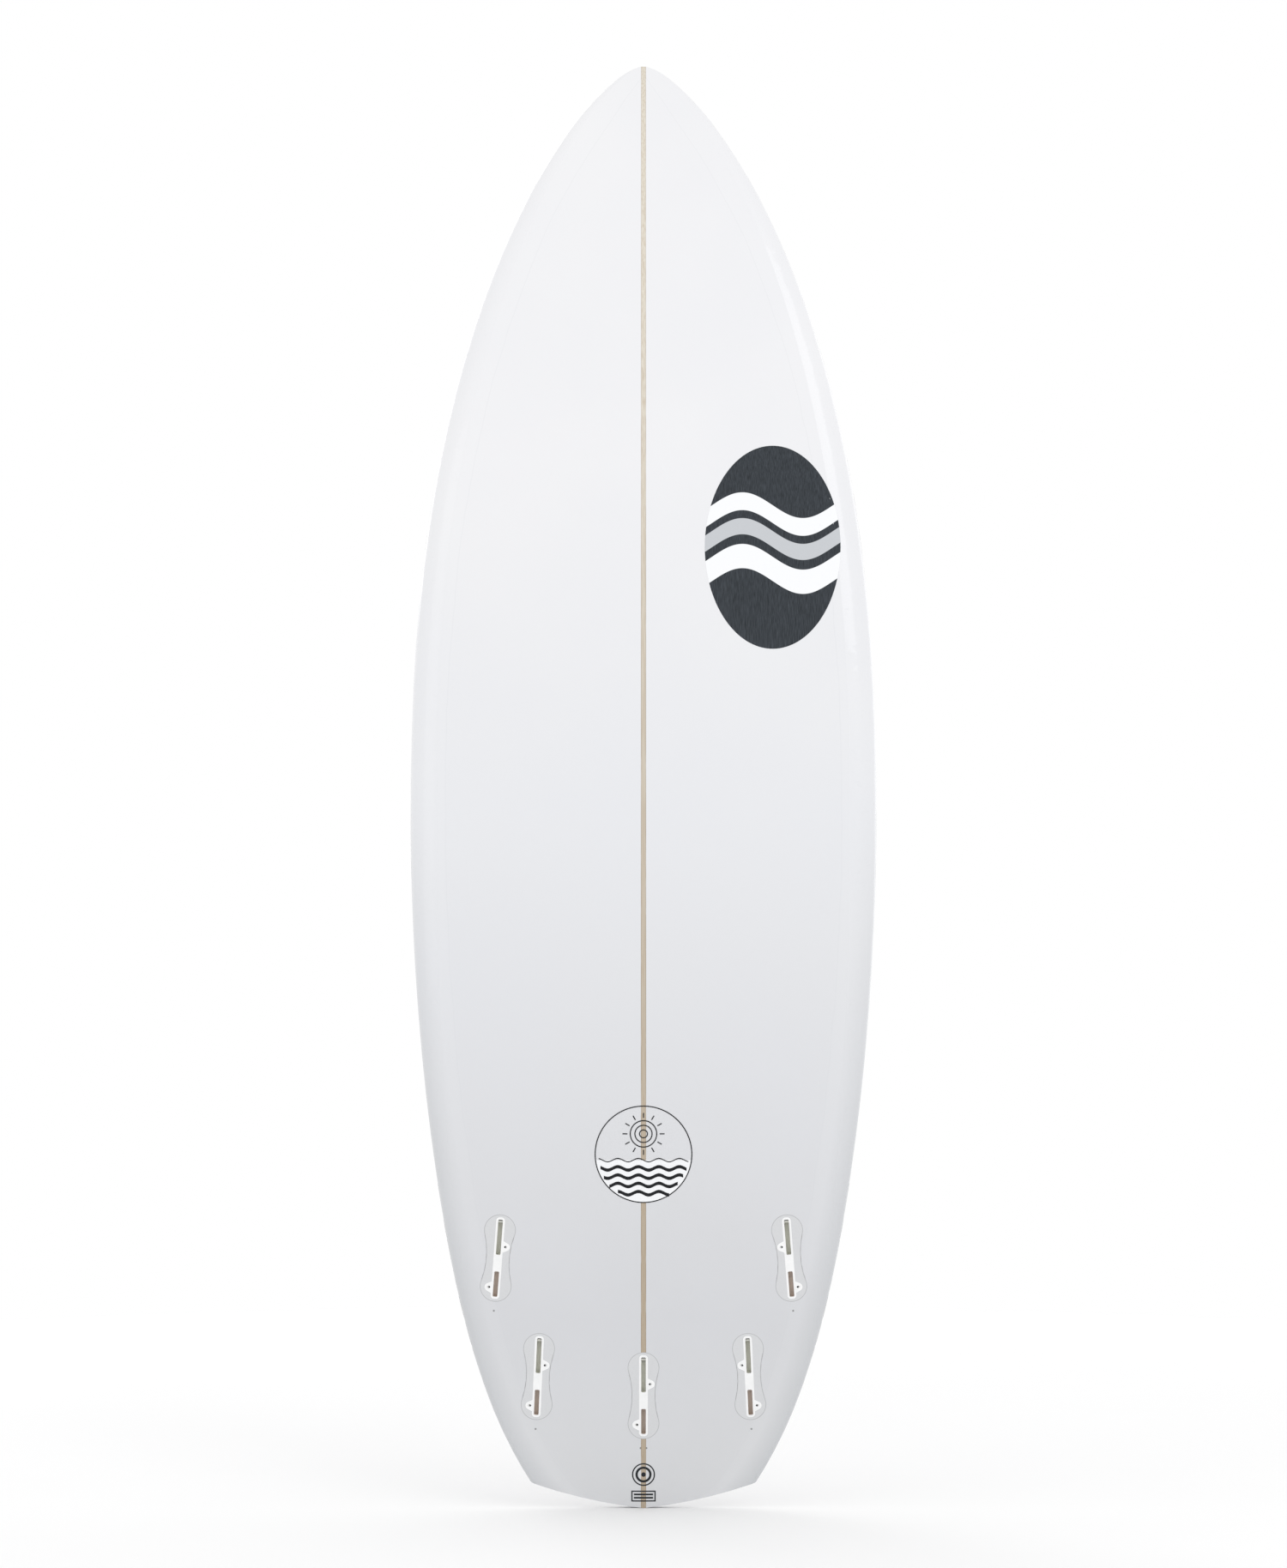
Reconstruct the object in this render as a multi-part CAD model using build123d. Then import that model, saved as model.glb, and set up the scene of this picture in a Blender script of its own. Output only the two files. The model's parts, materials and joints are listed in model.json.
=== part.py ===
from build123d import *
import os
from math import copysign, cos, pi, radians, sin, sqrt

# A surfboard: a foam blank split by a plywood stringer and glassed on both
# faces, with carbon tail strips, five twin-slot fin boxes and a leash plug.
#
# Millimetres. The tail tip is at z = 0 on the centre line and the nose points
# to +Z. The deck faces -Y, so +X is the rider's right. A height is measured
# from the lowest plane of the bottom towards the deck.

# Board as a whole
board_length = 1803.4
board_width = 577.9
board_thickness = 66.7

# Plan outline
wide_point = 860.0            # widest station, above the tail tip
nose_tip_width = 9.0
nose_fullness = 2.35          # exponent along the nose half of the outline
nose_roundness = 1.40         # exponent across it: 1 is pointed, 2 is an ellipse
tail_corner_width = 281.0
tail_corner_rise = 33.0       # the corners lie this far ahead of the tail tip
tail_corner_radius = 9.0
tail_hook = 38.7              # late pull-in of the outline, just ahead of the corners
tail_edge_bow = 4.6           # how far each tail edge bows out from its chord

# Rocker, the rise of the bottom's centre line
rocker_low_point = 785.0
nose_rocker = 90.0            # long curve of the front half
nose_flip = 16.0              # extra lift in the last part of the nose
tail_rocker = 44.0

# Foil, the thickness along the centre line
thick_point = 903.0
nose_tip_thickness = 6.0
tail_thickness = 14.0
nose_foil = 2.7
tail_foil = 1.75

# Cross-section
tail_apex_share = 0.26        # height of the rail's widest line, as a share of the thickness
nose_apex_share = 0.50
tail_tuck = 5.0               # width of the rounded edge under the rail
middle_tuck = 34.0
deck_crown = 0.70             # how far the flat of the deck reaches towards the rail
rail_fullness = 0.81          # how far the rail stands up before it rolls over
concave_depth = 2.5
spine_end = 880.0             # ahead of this station the double concave is a single one

# Blank and stringer
stringer_width = 5.7
glue_width = 0.7

# Glass
deck_glass = 1.5
bottom_glass = 1.0
rail_glass = 1.5

# Carbon strips along the tail rails
carbon_thickness = 0.3
carbon_width = 19.0
carbon_tail_end = 68.0
carbon_nose_end = 406.0
carbon_end_slant = 17.0       # the inner edge stops this much short of the outer one

# Fin boxes: each slot takes one tab of a fin
box_length = 102.0
box_width = 10.8
box_depth = 14.5
box_end_radius = 4.2
front_slot_length = 44.0
rear_slot_length = 31.7
slot_width = 5.8
box_floor = 2.5               # left under the slots
slot_corner_radius = 1.4
slot_end_wall = 2.85          # between the long slot and the box's nose end
rear_slot_end_wall = 2.6
ear_radius = 5.0
ear_offset = 8.8
ear_flare = 17.0              # length along the box over which an ear runs into it
front_ear_place = 14.4        # along the box from its middle, towards the nose
rear_ear_place = -36.7

# Retaining roller and its rubber spring, under the nose end of the long slot
roller_diameter = 3.0
roller_length = 8.4
roller_depth = 2.7            # roller axis below the box face
roller_end_gap = 1.0          # gap in the slot's mouth behind the roller
roller_travel = 1.2
roller_clearance = 0.05
spring_length = 2.25
spring_side_gap = 0.3         # each side, in the slot's width
spring_height = 2.8
spring_clearance = 0.05

# Grub screws, which tilt in towards the slots
screw_diameter = 3.0
screw_length = 5.0
screw_clearance = 0.05
screw_tilt = 45.0
screw_recess = 1.5            # below the ear's face, along the screw
screw_socket = 1.5            # across the flats
screw_socket_depth = 1.5

# Resin fill round each box, in a dog-bone pocket
pocket_lobe_radius = 19.6
pocket_end_gap = 3.6          # resin past each end of the box
pocket_waist = 29.0
pocket_floor_gap = 1.0        # resin under the box

# Where the boxes lie: across from the centre line, up from the tail, toe-in
front_box_inset = 59.0        # in from the outline
front_box_rise = 313.6
front_box_toe = 4.3
rear_box_inset = 70.7
rear_box_rise = 165.4
rear_box_toe = 2.5
centre_box_rise = 141.5

# Leash plug in the deck
leash_rise = 49.5
leash_radius = 11.85
leash_depth = 13.0
leash_rim_radius = 9.3
leash_rim_step = 1.2
leash_well_radius = 7.9
leash_floor = 1.6
leash_bar_diameter = 3.1
leash_bar_drop = 2.9          # bar axis below the plug's face
leash_bar_seat = 1.3          # how far each end of the bar goes into the wall
leash_bar_clearance = 0.02
leash_resin_width = 1.4
leash_proud = 0.2

# Printed marks, thin films on the glass
film = 0.12
emblem_half_width = 84.0
emblem_half_length = 126.0
emblem_inset = 111.0          # its middle, in from the outline
deck_emblem_rise = 1150.0
bottom_emblem_rise = 1195.0
print_radius = 60.5
print_rise = 443.0
print_line = 1.3
sun_radius = 13.0
sun_rise = 25.0               # above the middle of the print
ray_count = 12
ray_length = 7.0
wave_length = 34.0
wave_height = 3.2
wave_spacing = 15.0
wave_width = 4.0
ring_mark_radius = 14.3
ring_mark_rise = 42.4
bar_mark_size = (30.3, 13.8)
bar_mark_rise = 15.2
mark_line = 1.5

# How the lofts and the cutting tools are laid out
over = 6.0                    # cutters stand this far out of the surface they cut
nose_stations = 13
tail_stations = 9
tail_runout = 25.0            # the loft runs on past the tail and is trimmed back
reach = 400.0                 # half size of the tools that cut the whole board
side_allowance = 1.0          # the tail trim stands this far off the rails

bottom_plane_y = (nose_rocker + nose_flip + nose_tip_thickness) / 2


def half_width(z):
    """Half the plan width at a station."""
    half = board_width / 2
    if z >= wide_point:
        s = (z - wide_point) / (board_length - wide_point)
        tip = nose_tip_width / 2
        return tip + (half - tip) * max(0.0, 1 - s**nose_fullness) ** (1 / nose_roundness)
    q = (wide_point - z) / (wide_point - tail_corner_rise)
    pull_in = half - tail_corner_width / 2 - tail_hook
    return half - pull_in * q**2 - tail_hook * q**8


def rocker(z):
    """Height of the bottom's edges at a station."""
    if z >= rocker_low_point:
        s = (z - rocker_low_point) / (board_length - rocker_low_point)
        return nose_rocker * s**2.9 + nose_flip * s**14
    return tail_rocker * ((rocker_low_point - z) / rocker_low_point) ** 1.8


def thickness(z):
    """Thickness over the centre line at a station."""
    if z >= thick_point:
        s = (z - thick_point) / (board_length - thick_point)
        return board_thickness - (board_thickness - nose_tip_thickness) * s**nose_foil
    s = (thick_point - z) / thick_point
    return board_thickness - (board_thickness - tail_thickness) * s**tail_foil


def apex_height(z):
    """Height of the rail's widest line above the bottom's edge."""
    share = tail_apex_share + (nose_apex_share - tail_apex_share) * max(z, 0) / board_length
    return share * thickness(z)


def tuck(z):
    """Width of the rounded edge between the rail and the flat of the bottom."""
    if z >= wide_point:
        return middle_tuck * (half_width(z) / (board_width / 2)) ** 0.8
    q = max(z, 0) / wide_point
    return tail_tuck + (middle_tuck - tail_tuck) * q * q * (3 - 2 * q)


def concave(z):
    """Depth of the hollows under the board: in each half, and on the centre line."""
    s = max(0.0, (z - wide_point) / (board_length - wide_point))
    halves = concave_depth * (1 - s * s)
    spine = max(0.0, 1 - (max(z, 0) / spine_end) ** 2)
    return halves, halves * (1 - spine)


def bottom_height(x, z):
    """Height of the bottom's flat at a point, which is one cubic from rail to centre."""
    halves, centre = concave(z)
    u = 1 - abs(x) / (half_width(z) - tuck(z))
    hollow = 3 * (1 - u) * u * halves + u**3 * centre
    return rocker(z) + hollow


def station_wire(z, deck_skin, bottom_skin, rail_skin):
    """The board's section at a station, smaller by the skins, as a closed wire."""
    side = half_width(z) - rail_skin
    top = thickness(z) - deck_skin
    apex = apex_height(z)
    flat = side - tuck(z)
    halves, centre = concave(z)

    def at(x, height):
        return Vector(x, bottom_plane_y - rocker(z) - height, z)

    def half_section(hand):
        shoulder = apex + rail_fullness * (top - apex)
        deck = Bezier(
            at(0, top), at(hand * deck_crown * side, top),
            at(hand * side, shoulder), at(hand * side, apex),
        )
        rail = Bezier(
            at(hand * side, apex), at(hand * side, bottom_skin + 0.4 * (apex - bottom_skin)),
            at(hand * (flat + 0.4 * (side - flat)), bottom_skin), at(hand * flat, bottom_skin),
        )
        bottom = Bezier(
            at(hand * flat, bottom_skin), at(hand * flat * 2 / 3, bottom_skin + halves),
            at(hand * flat / 3, bottom_skin + halves), at(0, bottom_skin + centre),
        )
        return [deck, rail, bottom]

    return Wire(half_section(1) + half_section(-1))


def stations(top):
    """Heights of the loft's sections, closer together towards the nose tip."""
    rise = top - wide_point
    nose = [top - rise * (i / nose_stations) ** 2 for i in range(nose_stations + 1)]
    run = wide_point + tail_runout
    tail = [wide_point - run * i / tail_stations for i in range(1, tail_stations + 1)]
    return nose + tail


def tail_trim(skin):
    """A prism that holds the whole board ahead of its two bowed tail edges."""
    corner = (tail_corner_width / 2 + side_allowance, tail_corner_rise)
    chord = sqrt(corner[0] ** 2 + corner[1] ** 2)
    bowed = (
        corner[0] / 2 + tail_edge_bow * corner[1] / chord,
        corner[1] / 2 - tail_edge_bow * corner[0] / chord,
    )
    # each side runs up along the outline's own slope at the corner
    slope = (half_width(corner[1] + 5) - half_width(corner[1])) / 5
    top = board_length + 50
    outline = Plane.XZ * (Curve() + [
        ThreePointArc((0, 0), bowed, corner),
        Line(corner, (corner[0] + slope * reach, corner[1] + reach)),
        Polyline(
            (corner[0] + slope * reach, corner[1] + reach),
            (reach + 100, corner[1] + reach), (reach + 100, top), (0, top), (0, 0),
        ),
    ])
    half = make_face(outline)
    sharp = half.vertices().sort_by_distance((corner[0], 0, corner[1]))[0]
    prism = extrude(fillet(sharp, tail_corner_radius), amount=reach, both=True)
    return Pos(0, 0, skin) * (prism + mirror(prism, Plane.YZ))


def board_solid(deck_skin, bottom_skin, rail_skin):
    """The board's outer shape, smaller by the skins (or larger, where they are negative)."""
    tip = board_length - rail_skin
    wires = [station_wire(min(z, board_length), deck_skin, bottom_skin, rail_skin) for z in stations(tip)]
    return Solid.make_loft(wires)


def deck_side():
    """A block that holds everything on the deck's side of the rails' widest line."""
    low, high = -tail_runout - 5, board_length + 5
    steps = 12
    heights = [low + (high - low) * i / steps for i in range(steps + 1)]
    widest = [(bottom_plane_y - rocker(z) - apex_height(z), z) for z in heights]
    outline = Plane.YZ * (Curve() + [
        Spline(*widest),
        Polyline(widest[-1], (-reach, high), (-reach, low), widest[0]),
    ])
    return extrude(make_face(outline), amount=reach, both=True)


def plan_prism(sketch):
    """A sketch drawn on the plan, X across and Z up the board, as a tool through it."""
    return extrude(Plane.XZ * sketch, amount=reach, both=True)


def slab(low_x, high_x):
    """The whole board's height and depth, between two planes across it."""
    middle = (low_x + high_x) / 2
    return Pos(middle, 0, board_length / 2) * Box(high_x - low_x, reach, board_length + reach)


# Fin boxes. Each is drawn in its own frame: x along the box towards the nose,
# y across the board and z out of the bottom, with 0 in its middle at the surface.


def box_frame(across, rise, toe):
    """The frame of a fin box that lies flat in the bottom, with its nose end turned in."""
    step = 1.0
    rise_x = (bottom_height(across + step, rise) - bottom_height(across - step, rise)) / (2 * step)
    rise_z = (bottom_height(across, rise + step) - bottom_height(across, rise - step)) / (2 * step)
    out = Vector(rise_x, 1, rise_z).normalized()
    lean = copysign(sin(radians(toe)), -across)
    along = Vector(lean, 0, cos(radians(toe)))
    along = (along - out * along.dot(out)).normalized()
    origin = (across, bottom_plane_y - bottom_height(across, rise), rise)
    return Plane(origin=origin, x_dir=along, z_dir=out)


def box_places():
    """Each fin box's name, its frame, and which side its tail-end ear stands on."""
    front_across = half_width(front_box_rise) - front_box_inset
    rear_across = half_width(rear_box_rise) - rear_box_inset
    return [
        ("front_left", box_frame(-front_across, front_box_rise, front_box_toe), -1),
        ("front_right", box_frame(front_across, front_box_rise, front_box_toe), 1),
        ("rear_left", box_frame(-rear_across, rear_box_rise, rear_box_toe), -1),
        ("rear_right", box_frame(rear_across, rear_box_rise, rear_box_toe), 1),
        ("centre", box_frame(0, centre_box_rise, 0), 1),
    ]


def ear_places(hand):
    """Where the two ears stand: along the box, and which side."""
    return [("inner", front_ear_place, -hand), ("outer", rear_ear_place, hand)]


def box_outline(hand):
    outline = RectangleRounded(box_length, box_width, box_end_radius)
    for _, place, side in ear_places(hand):
        lobe = Pos(place, side * ear_offset) * Circle(ear_radius)
        root = Pos(place, 0) * Rectangle(ear_flare, box_width / 2)
        outline += make_hull(lobe.edges() + root.edges())
    return outline


slot_depth = box_depth - box_floor
front_slot_end = box_length / 2 - slot_end_wall
rear_slot_end = -box_length / 2 + rear_slot_end_wall
roller_place = front_slot_end - roller_end_gap - roller_diameter / 2


def slots():
    front = Pos(front_slot_end - front_slot_length / 2, 0)
    rear = Pos(rear_slot_end + rear_slot_length / 2, 0)
    front *= RectangleRounded(front_slot_length, slot_width, slot_corner_radius)
    rear *= RectangleRounded(rear_slot_length, slot_width, slot_corner_radius)
    return extrude(Pos(0, 0, -slot_depth) * (front + rear), amount=slot_depth + over)


def block(low, high):
    """A box from its lowest corner to its highest."""
    size = [high[i] - low[i] for i in range(3)]
    middle = [(high[i] + low[i]) / 2 for i in range(3)]
    return Pos(*middle) * Box(*size)


def roller_pocket():
    """The grooves that the roller's ends run in, and the space for its spring."""
    half_height = roller_diameter / 2 + roller_clearance
    half_length = roller_length / 2 + roller_clearance
    low, high = -roller_depth - half_height, -roller_depth + half_height
    grooves = block(
        (roller_place - half_height, -half_length, low),
        (roller_place + roller_travel + half_height, half_length, high),
    )
    spring_end = roller_place + roller_diameter / 2 + spring_length + 2 * spring_clearance
    return grooves + block(
        (roller_place, -slot_width / 2, low), (spring_end, slot_width / 2, high)
    )


def roller():
    middle = Pos(roller_place, 0, -roller_depth) * Rot(90, 0, 0)
    return middle * Cylinder(roller_diameter / 2, roller_length)


def roller_spring():
    start = roller_place + roller_diameter / 2 + spring_clearance
    half = slot_width / 2 - spring_side_gap
    return block(
        (start, -half, -roller_depth - spring_height / 2),
        (start + spring_length, half, -roller_depth + spring_height / 2),
    )


def screw_frame(place, side):
    """The frame of a grub screw: from its ear's face along the screw, into the slot."""
    tilt = radians(screw_tilt)
    into = Vector(0, -side * sin(tilt), -cos(tilt))
    return Plane(origin=(place, side * ear_offset, 0), x_dir=(1, 0, 0), z_dir=into)


def screw_hole(place, side):
    """It runs from outside the ear until it has broken right through the slot's wall."""
    radius = screw_diameter / 2 + screw_clearance
    end = (ear_offset - slot_width / 2) / sin(radians(screw_tilt)) + radius
    hole = Pos(0, 0, -over) * Circle(radius)
    return screw_frame(place, side).location * extrude(hole, amount=end + over)


def grub_screw(place, side):
    shank = extrude(Pos(0, 0, screw_recess) * Circle(screw_diameter / 2), amount=screw_length)
    shank = chamfer(shank.edges().sort_by(Axis.Z)[-1], screw_diameter / 8)
    hexagon = RegularPolygon(screw_socket / 2, 6, major_radius=False)
    socket = extrude(Pos(0, 0, screw_recess) * hexagon, amount=screw_socket_depth)
    return screw_frame(place, side).location * (shank - socket)


def box_prism(hand):
    """A fin box's outer shape, standing out of the board before it is sanded flush."""
    return extrude(Pos(0, 0, -box_depth) * box_outline(hand), amount=box_depth + over)


def box_body(hand):
    body = box_prism(hand) - slots() - roller_pocket()
    for _, place, side in ear_places(hand):
        body -= screw_hole(place, side)
    return body


def pocket():
    """The dog-bone pocket round a box: two lobes, and a waist that runs into them."""
    half = box_length / 2 + pocket_end_gap - pocket_lobe_radius
    waist = pocket_waist / 2
    radius = (waist**2 + half**2 - pocket_lobe_radius**2) / (2 * (pocket_lobe_radius - waist))
    share = radius / (radius + pocket_lobe_radius)
    outline = Rectangle(2 * half * share, 2 * (waist + radius) * (1 - share))
    for side in (-1, 1):
        outline -= Pos(0, side * (waist + radius)) * Circle(radius)
    for end in (-1, 1):
        outline += Pos(end * half, 0) * Circle(pocket_lobe_radius)
    depth = box_depth + pocket_floor_gap
    return extrude(Pos(0, 0, -depth) * outline, amount=depth + over)


# The leash plug, in a frame with x across the board and z out of the deck.


def leash_frame():
    def deck(z):
        return bottom_plane_y - rocker(z) - thickness(z)

    rise_z = deck(leash_rise + 1) - deck(leash_rise - 1)
    out = Vector(0, -1, rise_z / 2).normalized()
    return Plane(origin=(0, deck(leash_rise), leash_rise), x_dir=(1, 0, 0), z_dir=out)


def cylinder(radius, low, high):
    return extrude(Pos(0, 0, low) * Circle(radius), amount=high - low)


def leash_bar():
    turned = Pos(0, 0, -leash_bar_drop) * Rot(0, 90, 0)
    return turned * Cylinder(leash_bar_diameter / 2, 2 * (leash_well_radius + leash_bar_seat))


def leash_cup():
    """A cup with a stepped rim, a bevel down to its well and a seat for the bar."""
    cup = cylinder(leash_radius, -leash_depth, leash_proud)
    cup = fillet(cup.edges().sort_by(Axis.Z)[-1], leash_proud)
    bevel = Pos(0, 0, leash_proud - leash_rim_step / 2)
    bevel *= Cone(leash_well_radius, leash_rim_radius, leash_rim_step)
    well = cylinder(leash_well_radius, leash_floor - leash_depth, over)
    turned = Pos(0, 0, -leash_bar_drop) * Rot(0, 90, 0)
    seat = turned * Cylinder(
        leash_bar_diameter / 2 + leash_bar_clearance,
        2 * (leash_well_radius + leash_bar_seat + leash_bar_clearance),
    )
    return cup - bevel - well - seat


def leash_pocket():
    radius = leash_radius + leash_resin_width
    return cylinder(radius, -leash_depth - leash_resin_width, over)


# Printed marks, drawn on the plan


def emblem_sketch(side, rise):
    across = side * (half_width(rise) - emblem_inset)
    return Pos(across, rise) * Ellipse(emblem_half_width, emblem_half_length)


def wave(rise, width):
    """One wavy stroke across the round print."""
    half = print_radius + wave_length
    steps = int(4 * half / wave_length)
    across = [-half + 2 * half * i / steps for i in range(steps + 1)]
    points = [(x, rise + wave_height * sin(2 * pi * (x + half) / wave_length)) for x in across]
    return trace(Spline(*points), width)


def print_lines():
    """The round print's dark lines: a ring, a sun with rays, and three waves."""
    ring = Circle(print_radius) - Circle(print_radius - print_line)
    sun = Circle(sun_radius) - Circle(sun_radius - print_line)
    ray_middle = sun_radius + 2 * print_line + ray_length / 2
    for i in range(ray_count):
        sun += Rot(0, 0, 360 * i / ray_count) * Pos(ray_middle, 0) * Rectangle(ray_length, print_line)
    waves = wave(-wave_spacing / 2, print_line)
    for i in range(1, 4):
        waves += wave(-wave_spacing / 2 - i * wave_spacing * 0.85, wave_width)
    inside = Circle(print_radius - print_line / 2)
    return ring + Pos(0, sun_rise) * sun + (waves & inside)


def print_patch():
    """The round print's white lower part, under the top wave and between the lines."""
    lower = Circle(print_radius) & (Pos(0, -print_radius - wave_spacing / 2) * Rectangle(
        2 * print_radius, 2 * print_radius
    ))
    return lower - print_lines()


def ring_mark():
    return Circle(ring_mark_radius) - Circle(ring_mark_radius - mark_line) + Circle(mark_line)


def bar_mark():
    return Rectangle(*bar_mark_size) - Rectangle(*[side - 2 * mark_line for side in bar_mark_size])


def carbon_outline():
    """The right strip's plan: along the rail, with slanted ends."""
    low, high = carbon_tail_end + carbon_end_slant, carbon_nose_end - carbon_end_slant
    steps = 5
    heights = [low + (high - low) * i / steps for i in range(steps + 1)]
    inner = [(half_width(z) - carbon_width, z) for z in heights]
    outside = half_width(carbon_nose_end) + over
    return make_face(Curve() + [
        Spline(*inner),
        Polyline(
            inner[-1], (half_width(carbon_nose_end), carbon_nose_end), (outside, carbon_nose_end),
            (outside, carbon_tail_end), (half_width(carbon_tail_end), carbon_tail_end), inner[0],
        ),
    ])


# The whole assembly


def laminates(outer, core, deck, box_pockets, leash_hole):
    """The glass skins, which meet on the rails' widest line."""
    shell = outer - core
    return {
        "deck_laminate": (shell & deck) - leash_hole,
        "bottom_laminate": (shell - deck) - box_pockets,
    }


def blank_parts(foam):
    """The stringer, the glue on its two sides and the two halves of the blank."""
    half_stringer = stringer_width / 2
    edge = half_stringer + glue_width
    return {
        "stringer": foam & slab(-half_stringer, half_stringer),
        "glue_line_left": foam & slab(-edge, -half_stringer),
        "glue_line_right": foam & slab(half_stringer, edge),
        "blank_left_half": foam & slab(-reach, -edge),
        "blank_right_half": foam & slab(edge, reach),
    }


def carbon_strips(outer, deck):
    """The two strips of carbon on the rails near the tail."""
    layer = board_solid(-carbon_thickness, -carbon_thickness, -carbon_thickness)
    right_strip = ((layer & plan_prism(carbon_outline())) & deck) - outer
    return {"carbon_strip_right": right_strip, "carbon_strip_left": mirror(right_strip, Plane.YZ)}


def printed_marks(outer, deck):
    """The emblems and the line prints, each a thin film on the glass."""
    ink = board_solid(-film, -film, -film)
    printed = Pos(0, print_rise)
    marks = {
        "bottom_emblem": emblem_sketch(-1, bottom_emblem_rise),
        "round_print_lines": printed * print_lines(),
        "round_print_patch": printed * print_patch(),
        "ring_mark": Pos(0, ring_mark_rise) * ring_mark(),
        "bar_mark": Pos(0, bar_mark_rise) * bar_mark(),
    }
    parts = {name: ((ink & plan_prism(sketch)) - deck) - outer for name, sketch in marks.items()}
    emblem = plan_prism(emblem_sketch(1, deck_emblem_rise))
    parts["deck_emblem"] = ((ink & emblem) & deck) - outer
    return parts


def flush_parts(outer, leash):
    """The fin boxes, their resin and the leash plug's resin, all sanded level with the glass."""
    parts = {}
    for name, frame, hand in box_places():
        place = frame.location
        parts[name + "_box"] = place * box_body(hand) & outer
        parts[name + "_box_resin"] = (place * (pocket() - box_prism(hand))) & outer
    leash_resin = leash_pocket() - cylinder(leash_radius, -leash_depth, over)
    parts["leash_cup_resin"] = (leash * leash_resin) & outer
    return parts


def hull_parts():
    """The laminates, the blank, the stringer and what lies on or in the glass."""
    outer = board_solid(0, 0, 0) & tail_trim(0)
    core = board_solid(deck_glass, bottom_glass, rail_glass) & tail_trim(rail_glass)
    deck = deck_side()
    leash = leash_frame().location
    box_pockets = [frame.location * pocket() for _, frame, _ in box_places()]
    leash_hole = leash * leash_pocket()
    parts = laminates(outer, core, deck, box_pockets, leash_hole)
    parts.update(blank_parts(core - (box_pockets + [leash_hole])))
    parts.update(carbon_strips(outer, deck))
    parts.update(printed_marks(outer, deck))
    parts.update(flush_parts(outer, leash))
    return parts


def small_parts():
    """The pieces that sit in the fin boxes and the leash plug."""
    parts = {}
    for name, frame, hand in box_places():
        place = frame.location
        parts[name + "_roller"] = place * roller()
        parts[name + "_roller_spring"] = place * roller_spring()
        for ear, along, side in ear_places(hand):
            parts[f"{name}_{ear}_screw"] = place * grub_screw(along, side)
    leash = leash_frame().location
    parts["leash_cup"] = leash * leash_cup()
    parts["leash_bar"] = leash * leash_bar()
    return parts


if __name__ == "__main__":
    os.makedirs("parts", exist_ok=True)
    for name, part in {**hull_parts(), **small_parts()}.items():
        export_step(part, f"parts/{name}.step")
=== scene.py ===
import json

from math import cos, pi, radians, sin, sqrt

import bpy
import numpy as np
from bpy.props import FloatProperty, IntProperty, PointerProperty, StringProperty
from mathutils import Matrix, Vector
from mathutils.bvhtree import BVHTree

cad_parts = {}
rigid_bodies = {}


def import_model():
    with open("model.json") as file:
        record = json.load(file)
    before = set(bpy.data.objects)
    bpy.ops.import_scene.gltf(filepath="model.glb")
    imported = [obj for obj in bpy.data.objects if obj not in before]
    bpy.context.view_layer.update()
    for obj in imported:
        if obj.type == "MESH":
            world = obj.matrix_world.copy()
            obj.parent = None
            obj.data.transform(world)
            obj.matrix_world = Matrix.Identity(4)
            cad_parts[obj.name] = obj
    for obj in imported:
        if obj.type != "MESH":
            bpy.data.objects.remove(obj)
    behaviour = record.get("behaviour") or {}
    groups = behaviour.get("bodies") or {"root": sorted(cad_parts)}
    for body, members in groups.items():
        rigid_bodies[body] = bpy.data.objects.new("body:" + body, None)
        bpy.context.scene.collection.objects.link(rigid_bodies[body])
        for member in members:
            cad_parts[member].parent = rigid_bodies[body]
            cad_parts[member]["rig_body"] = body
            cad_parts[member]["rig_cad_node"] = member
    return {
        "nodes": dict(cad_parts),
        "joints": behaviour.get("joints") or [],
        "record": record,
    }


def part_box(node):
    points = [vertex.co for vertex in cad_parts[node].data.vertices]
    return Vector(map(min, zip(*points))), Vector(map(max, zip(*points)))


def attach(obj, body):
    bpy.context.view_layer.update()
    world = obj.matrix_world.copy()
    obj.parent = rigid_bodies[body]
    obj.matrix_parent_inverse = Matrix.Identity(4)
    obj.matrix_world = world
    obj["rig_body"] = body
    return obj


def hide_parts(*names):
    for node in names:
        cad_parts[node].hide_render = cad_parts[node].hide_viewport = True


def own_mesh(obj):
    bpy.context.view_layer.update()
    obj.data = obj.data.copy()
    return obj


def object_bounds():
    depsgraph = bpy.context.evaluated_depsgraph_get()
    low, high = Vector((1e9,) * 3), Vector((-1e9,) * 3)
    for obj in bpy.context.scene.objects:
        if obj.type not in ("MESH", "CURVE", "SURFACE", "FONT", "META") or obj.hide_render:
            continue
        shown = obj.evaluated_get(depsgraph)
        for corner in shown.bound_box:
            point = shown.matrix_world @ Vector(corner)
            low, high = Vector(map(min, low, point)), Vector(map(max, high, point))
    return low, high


bl_info = {
    "name": "Surfboard",
    "version": (1, 0, 0),
    "blender": (4, 5, 0),
    "location": "3D View > Sidebar > Surfboard",
    "description": "Finishes a surfboard's laminates, fin boxes, leash plug and printed marks",
    "category": "Object",
}

MM = 0.001
DECK_SIDE = -1        # the deck faces -Y and the bottom +Y
BOTTOM_SIDE = 1
BOX_NAMES = ("front_left", "front_right", "rear_left", "rear_right", "centre")
PLAN_DISTANCE = 0.3                 # flat pieces are drawn this far out from the board, then draped
FILL_LOBE_RADIUS = 0.0196           # a fill's outline: two round lobes and their place along the box,
FILL_LOBE_PLACE = 0.035
FILL_WAIST = 0.0145                 # half its waist, the arcs that make it, and where they meet the lobes
FILL_ARC_RADIUS = 0.10305
FILL_ARC_END = 0.0294
EMBLEM_BANDS = ((0.030, 0.052, "white"), (0.000, 0.020, "silver"), (-0.042, -0.012, "white"))
EMBLEM_SWELL_PITCH = 0.15           # from one crest of a band to the next, and how high it rolls
EMBLEM_SWELL_HEIGHT = 0.016
PENCIL_DOT_RADIUS = 0.0012
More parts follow.
